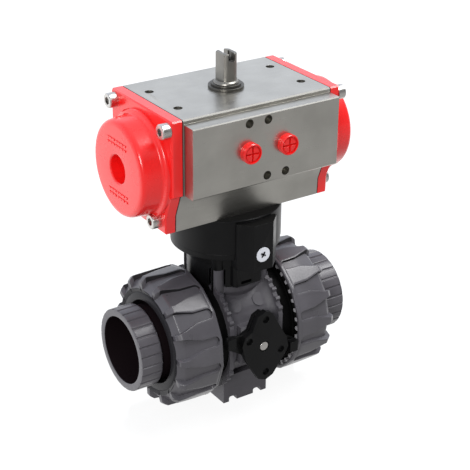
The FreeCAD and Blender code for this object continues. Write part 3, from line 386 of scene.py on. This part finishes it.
def rounded(profile, radius, steps=4):
    """Profile points with each corner turned into an arc of about that radius."""
    out = []
    n = len(profile)
    for i, p in enumerate(profile):
        r = radius[i] if isinstance(radius, (list, tuple)) else radius
        if i in (0, n - 1) or not r:
            out.append(p)
            continue
        a, b, c = Vector(profile[i - 1]), Vector(p), Vector(profile[i + 1])
        u, v = (a - b), (c - b)
        lu, lv = u.length, v.length
        if lu < 1e-6 or lv < 1e-6:
            out.append(p)
            continue
        u.normalize()
        v.normalize()
        d = min(r, lu * 0.48, lv * 0.48)
        p0, p2 = b + u * d, b + v * d
        for k in range(steps + 1):
            t = k / steps
            q = p0 * (1 - t) ** 2 + b * 2 * t * (1 - t) + p2 * t ** 2
            out.append((q.x, q.y))
    return out


def lathe(profile, centre, axis="x", segs=128, closed=True, shape=None, sign=1.0):
    """Verts and faces of a revolved (axial, radius) loop; shape(a, r, turn) may change the radius."""
    verts, faces = [], []
    n = len(profile)
    for j in range(segs):
        t = 2 * math.pi * j / segs
        for a, r in profile:
            rr = shape(a, r, math.degrees(t)) if shape else r
            if axis == "x":
                verts.append((centre[0] + sign * a, centre[1] - rr * math.cos(t), centre[2] + rr * math.sin(t)))
            elif axis == "y":
                verts.append((centre[0] + rr * math.cos(t), centre[1] + sign * a, centre[2] + rr * math.sin(t)))
            else:
                verts.append((centre[0] + rr * math.cos(t), centre[1] + rr * math.sin(t), centre[2] + sign * a))
    last = n if closed else n - 1
    for j in range(segs):
        k = (j + 1) % segs
        for i in range(last):
            i2 = (i + 1) % n
            faces.append((j * n + i, k * n + i, k * n + i2, j * n + i2))
    return verts, faces


def join(*pairs):
    verts, faces = [], []
    for v, f in pairs:
        base = len(verts)
        verts += v
        faces += [tuple(base + i for i in face) for face in f]
    return verts, faces


def prism(loop, x0, x1, inset=0.6):
    """A solid along X from a (y, z) loop, its end outline at x1 drawn in a little."""
    cy = sum(p[0] for p in loop) / len(loop)
    cz = sum(p[1] for p in loop) / len(loop)
    n = len(loop)
    s = 1 if x1 > x0 else -1
    small = [(cy + (y - cy) * (1 - inset / 32), cz + (z - cz) * (1 - inset / 33)) for y, z in loop]
    rings = [(x0, loop), (x1 - s * inset, loop), (x1, small)]
    verts = [(x, y, z) for x, ring in rings for y, z in ring]
    faces = []
    for k in range(2):
        for i in range(n):
            j = (i + 1) % n
            faces.append((k * n + i, k * n + j, (k + 1) * n + j, (k + 1) * n + i))
    faces.append(tuple(range(n)))
    faces.append(tuple(2 * n + i for i in reversed(range(n))))
    return verts, faces


# ------------------------------------------------------------------ actuator
ZA, ZP = 155.1, 43.4
copied("actuator_body", 0.12, 30)
OUT = [(31.2, 188.8), (32, 188.0), (32, 146.4), (29, 144.5), (24, 131.7), (23.6, 121.9)]
OUT = OUT + [(-y, z) for y, z in reversed(OUT)]
for side, s in (("left", -1), ("right", 1)):
    dome = rounded([(48.4, 8.07), (48.4, 30.6), (55.7, 30.6), (56.5, 29.9), (57.2, 27.9), (69.2, 26.9), (69.2, 8.6), (68.6, 8.07)],
                   [0, 0, 0.8, 0.6, 1.6, 3.4, 0.5, 0], 7)
    plug = [(56.3, 0.01), (56.3, 8.07), (56.0, 8.07), (56.0, 0.01)]
    v, f = join(prism(OUT, s * 47.9, s * 54.1, 0.7), lathe(dome, (0, 0, ZA), "x", 144, True, None, s), lathe(plug, (0, 0, ZA), "x", 48, True, None, s))
    bars = []
    for dz in (13.0, 15.6, -14.1, -16.7):
        for k in range(7):
            y0, y1 = -10.0 + 3.0 * k, -10.0 + 3.0 * k + (2.4 if k % 3 else 1.7)
            xa, xb = s * 69.0, s * 69.6
            corners = [(x, y, ZA + z) for x in (xa, xb) for y, z in ((y0, dz), (y1, dz), (y1, dz + 1.1), (y0, dz + 1.1))]
            bars.append((corners, [(0, 1, 2, 3), (7, 6, 5, 4), (0, 4, 5, 1), (1, 5, 6, 2), (2, 6, 7, 3), (3, 7, 4, 0)]))
    v, f = join((v, f), *bars)
    cap = new_object(side + "_cap_shell", v, f, "red_paint", 30)
    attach(cap, "fixed")
    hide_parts(side + "_end_cap")
    copied(side + "_cap_screws", 0.12, 30)
for n_ in ("left_port_plug", "right_port_plug"):
    copied(n_, 0.12, 30)
copied("pinion_shaft", 0.18, 30)
copied("thrust_washer", 0.2, 30).data.materials[0] = WASHER
copied("snap_ring", 0.15, 30).data.materials[0] = WASHER

# ------------------------------------------------------------------ bracket
copied("bracket_upper", 0.5, 30, segments=3)
copied("bracket_lower", 0.4, 30)
copied("label_disc", 0.15, 30)
ARMS = []
for ang in (58.0, -32.0):
    c_, s_ = math.cos(math.radians(ang)), math.sin(math.radians(ang))
    corners = []
    for y in (-38.92, -38.72):
        for a_, b_ in ((-1.9, -0.42), (1.9, -0.42), (1.9, 0.42), (-1.9, 0.42)):
            corners.append((a_ * c_ - b_ * s_, y, 101.7 + a_ * s_ + b_ * c_))
    ARMS.append((corners, [(0, 1, 2, 3), (7, 6, 5, 4), (0, 4, 5, 1), (1, 5, 6, 2), (2, 6, 7, 3), (3, 7, 4, 0)]))
v, f = join(*ARMS)
mark = new_object("disc_mark", v, f, "black_plastic", 30)
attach(mark, "fixed")

# ------------------------------------------------------------------ valve
copied("valve_body", 0.25, 30).data.materials[0] = BARREL
plate = copied("lock_plate", 0.35, 30)
for vertex in plate.data.vertices:
    if vertex.co.y > -0.03352:
        vertex.co.y = -0.03366
copied("lock_base", 0.35, 30)
copied("lock_pin", 0.1, 30)


def smooth(a, b, x):
    t = max(0.0, min(1.0, (x - a) / (b - a)))
    return t * t * (3 - 2 * t)


def lerp(table, x):
    if x <= table[0][0]:
        return table[0][1]
    for (x0, y0), (x1, y1) in zip(table, table[1:]):
        if x <= x1:
            return y0 + (y1 - y0) * (x - x0) / (x1 - x0)
    return table[-1][1]


PETAL = [(26.2, 39.1), (26.45, 39.5), (26.8, 39.7), (38.2, 39.55), (50.0, 39.2), (50.5, 38.95), (52.5, 37.3), (52.9, 36.9), (53.2, 36.3)]
FLOOR = [(28.2, 38.1), (40.2, 37.65), (46.0, 36.8), (49.6, 36.2), (51.0, 34.8), (53.2, 32.3)]
HALF = [(28.2, 3.7), (39.2, 4.2), (44.0, 6.3), (48.2, 8.2), (53.2, 9.3)]
STEP = 24.0


def nut_ring(x, phase):
    """Turn and radius of every point of one ring of the nut's petals and slots."""
    top = lerp(PETAL, x)
    low = min(top, lerp(FLOOR, x)) if x >= 28.2 else top
    w = lerp(HALF, x)
    if x < 30.2:
        w = w * max(0.12, math.sqrt(max(0.0, 1 - ((30.2 - max(x, 28.2)) / 2.0) ** 2)))
    wall = 0.3
    out = []
    for k in range(15):
        c = phase + STEP * k
        for i in range(9):
            out.append((c - w + 2 * w * i / 8, low * math.cos(math.radians(w)) / math.cos(math.radians(-w + 2 * w * i / 8)) if x >= 28.2 else low))
        half = (STEP - 2 * w - 2 * wall) / 2
        edge = c + w + wall
        for i in range(15):
            u = -half + 2 * half * i / 14
            r = top * (0.25 + 0.75 * math.cos(math.radians(half)) / math.cos(math.radians(u))) if 26.7 < x < 52.0 else top * (0.25 + 0.75 * math.cos(math.radians(half)) / math.cos(math.radians(u)))
            if i in (0, 14):
                r = r - min(0.22, (top - low) * 0.3)
            out.append((edge + half + u + (0.12 if i == 0 else -0.12 if i == 14 else 0.0), r))
    return out


def face_ring(turns, r):
    return [(a, r) for a in turns]


for side, s in (("left", -1), ("right", 1)):
    phase = 17.0 if s < 0 else 14.2
    xs = [26.2, 26.3, 26.45, 26.8, 27.6, 28.15, 28.2, 28.3, 28.5, 28.8, 29.2, 29.7, 30.2, 31.5, 34.0, 37.0, 39.2, 41.5, 44.0, 46.0, 48.2, 49.6, 50.0, 50.5, 51.2, 51.9, 52.5, 52.9, 53.2]
    rings = [(x, nut_ring(x, phase)) for x in xs]
    turns = [a for a, _ in rings[-1][1]]
    last = [r for _, r in rings[-1][1]]
    for x, r in ((53.2, 34.2), (52.3, 29.8), (52.6, 29.4), (52.8, 29.1), (52.8, 25.3), (52.5, 25.0), (46.3, 25.0), (46.3, 34.9), (29.2, 34.9), (29.2, 37.5), (26.5, 37.5), (26.2, 37.8)):
        rings.append((x, [(a, min(r, last[i] - 0.25) if x > 50 else r) for i, a in enumerate(turns)]))
    n = len(turns)
    verts, faces = [], []
    for x, ring in rings:
        for a, r in ring:
            g = math.radians(a)
            verts.append((s * x, -r * math.cos(g), ZP + r * math.sin(g)))
    for k in range(len(rings)):
        k2 = (k + 1) % len(rings)
        for i in range(n):
            j = (i + 1) % n
            faces.append((k * n + i, k * n + j, k2 * n + j, k2 * n + i))
    pairs, tips = [(verts, faces)], []
    for k in range(40):
        t = math.radians(9 * k + 2.5)
        x0, x1 = 26.35, 29.3
        r0, r1, h0, h1 = 35.3, 37.8, 0.9, 1.25
        corners = []
        for x in (x0, x1):
            for r, h in ((r0, -h0), (r1, -h1), (r1, h1), (r0, h0)):
                y, z = r * math.cos(t) - h * math.sin(t), r * math.sin(t) + h * math.cos(t)
                corners.append((s * x, -y, ZP + z))
        tips.append((corners, [(0, 1, 2, 3), (7, 6, 5, 4), (0, 4, 5, 1), (1, 5, 6, 2), (2, 6, 7, 3), (3, 7, 4, 0)]))
    v, f = join(*tips)
    teeth = new_object(side + "_nut_teeth", v, f, "grey_pvc", 38)
    teeth.data.materials[0] = PAINTED_LIGHT_TOOTH
    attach(teeth, side + "_nut_body")
    v, f = join(*pairs)
    nut = new_object(side + "_nut_shell", v, f, "grey_pvc", 38)
    nut.data.materials[0] = NUT
    nut.data.materials.append(PAINTED_SHADE_WALL)
    # painted shade: the upper wall of every slot, and the slot floor at its rim end, take the near-black copy
    for index, face in enumerate(nut.data.polygons):
        ring, column = index // n, (index % n) % 24
        if ring < len(xs) - 1 and 28.1 < xs[ring] < 50.4 and column == 8:
            face.material_index = 1
        if ring < len(xs) - 1 and 28.1 < xs[ring] < 28.25 and column < 8:
            face.material_index = 1
    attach(nut, side + "_nut_body")
    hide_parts(side + "_union_nut")

    def groove(a, r, turn):
        if r < 23.9 or a < 57.1:
            return r
        period = 360.0 / 26
        d = abs((turn - 0.3 + period / 2) % period - period / 2)
        return r - 0.65 * (1 - smooth(0.5, 1.7, d)) * smooth(57.1, 57.9, a)

    prof = rounded([(40.0, 16.0), (40.0, 33.6), (46.0, 33.6), (46.0, 24.5), (47.6, 22.3), (57.0, 22.3), (57.2, 23.95), (57.9, 24.4), (70.5, 24.4), (70.5, 20.0), (44.5, 20.0), (44.5, 16.0)],
                   [0, 0.4, 0.4, 0.4, 0.6, 0.3, 0.1, 0.3, 0.5, 0.5, 0.3, 0], 3)
    fine = []
    for i, (a, r) in enumerate(prof):
        fine.append((a, r))
        b = prof[(i + 1) % len(prof)]
        if abs(a - b[0]) > 5 and r > 24 and b[1] > 24:
            fine += [(a + (b[0] - a) * t, r + (b[1] - r) * t) for t in (0.02, 0.5, 0.98)]
    v, f = lathe(fine, (0, 0, ZP), "x", 720, True, groove, s)
    conn = new_object(side + "_connector_shell", v, f, "grey_pvc", 38)
    conn.data.materials[0] = SOCKET
    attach(conn, "fixed")
    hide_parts(side + "_end_connector")

# ------------------------------------------------------------------ stage and light
me = bpy.data.meshes.new("floor")
me.from_pydata([(-4, -4, -0.0002), (4, -4, -0.0002), (4, 4, -0.0002), (-4, 4, -0.0002)], [], [(0, 1, 2, 3)])
floor = bpy.data.objects.new("floor", me)
scene.collection.objects.link(floor)
fm, nt, p = tree("pale_floor")
p.inputs["Base Color"].default_value = (0.10, 0.10, 0.10, 1)
p.inputs["Roughness"].default_value = 0.10
p.inputs["Specular IOR Level"].default_value = 0.35
p.inputs["Emission Color"].default_value = (1, 1, 1, 1)
p.inputs["Emission Strength"].default_value = 0.91
me.materials.append(fm)
floor.visible_diffuse = False
floor.visible_glossy = False

world = bpy.data.worlds.new("studio")
scene.world = world
world.use_nodes = True
wt = world.node_tree
bg = wt.nodes["Background"]
bg.inputs["Strength"].default_value = 1.0
tc = wt.nodes.new("ShaderNodeTexCoord")
sep = wt.nodes.new("ShaderNodeSeparateXYZ")
wt.links.new(tc.outputs["Generated"], sep.inputs["Vector"])


def world_ramp(source, stops, a=-1.0, b=1.0):
    r = wt.nodes.new("ShaderNodeMapRange")
    r.inputs["From Min"].default_value = a
    r.inputs["From Max"].default_value = b
    wt.links.new(source, r.inputs["Value"])
    c = wt.nodes.new("ShaderNodeValToRGB")
    c.color_ramp.interpolation = "EASE"
    while len(c.color_ramp.elements) < len(stops):
        c.color_ramp.elements.new(0.5)
    for e, (pos_, col) in zip(c.color_ramp.elements, stops):
        e.position = pos_
        e.color = (*col, 1)
    wt.links.new(r.outputs["Result"], c.inputs["Fac"])
    return c.outputs["Color"]


def grey(v, blue=1.0):
    return (v, v * (1 + (blue - 1) * 0.35), v * blue)


# height bands of the room, seen towards its front and towards its back
front = world_ramp(sep.outputs["Z"], [(0.0, grey(0.50)), (0.30, grey(0.52)), (0.47, grey(0.42)), (0.55, grey(0.22)), (0.72, grey(0.20)), (0.86, grey(0.62, 1.08)), (1.0, grey(0.85, 1.12))])
rear = world_ramp(sep.outputs["Z"], [(0.0, grey(0.90)), (0.25, grey(1.30)), (0.48, grey(1.15, 1.05)), (0.60, grey(1.0, 1.12)), (0.75, grey(1.0, 1.22)), (0.86, grey(0.75, 1.15)), (1.0, grey(0.85, 1.12))])
blend = wt.nodes.new("ShaderNodeMapRange")
blend.interpolation_type = "SMOOTHSTEP"
blend.inputs["From Min"].default_value = -0.35
blend.inputs["From Max"].default_value = 0.35
wt.links.new(sep.outputs["Y"], blend.inputs["Value"])
mixer = wt.nodes.new("ShaderNodeMix")
mixer.data_type = "RGBA"
wt.links.new(blend.outputs["Result"], mixer.inputs[0])
wt.links.new(front, mixer.inputs[6])
wt.links.new(rear, mixer.inputs[7])
wt.links.new(mixer.outputs[2], bg.inputs["Color"])


def area(name, loc, target, size, power, colour=(1, 1, 1)):
    l = bpy.data.lights.new(name, "AREA")
    l.shape = "RECTANGLE"
    l.size, l.size_y = size
    l.energy = power
    l.color = colour
    o = bpy.data.objects.new(name, l)
    scene.collection.objects.link(o)
    o.location = loc
    o.rotation_euler = (Vector(target) - Vector(loc)).to_track_quat("-Z", "Y").to_euler()
    return o


area("key", (0.58, -0.25, 1.12), (0, 0, 0.09), (0.66, 0.50), 11.0)
area("fill", (-0.95, -0.85, 0.72), (0, 0, 0.1), (0.40, 0.40), 8.5)

# ------------------------------------------------------------------ camera
az, el, roll = math.radians(-33.84), math.radians(25.92), math.radians(0.52)
back = Vector((math.sin(az) * math.cos(el), -math.cos(az) * math.cos(el), math.sin(el)))
fwd = -back
right = fwd.cross(Vector((0, 0, 1))).normalized()
up = right.cross(fwd)
cx = right * math.cos(roll) + up * math.sin(roll)
cy = -right * math.sin(roll) + up * math.cos(roll)
cd = bpy.data.cameras.new("camera")
cam = bpy.data.objects.new("camera", cd)
scene.collection.objects.link(cam)
cd.lens = 99.84
cd.sensor_width = 36.0
cd.sensor_height = 36.0
cd.dof.use_dof = False
cd.clip_start = 0.01
cd.clip_end = 20
pos = Vector((0.00686, 0, 0.09622)) + back * 0.75987
cam.matrix_world = Matrix(((cx.x, cy.x, back.x, pos.x), (cx.y, cy.y, back.y, pos.y), (cx.z, cy.z, back.z, pos.z), (0, 0, 0, 1)))
scene.camera = cam
scene.view_settings.view_transform = "Standard"
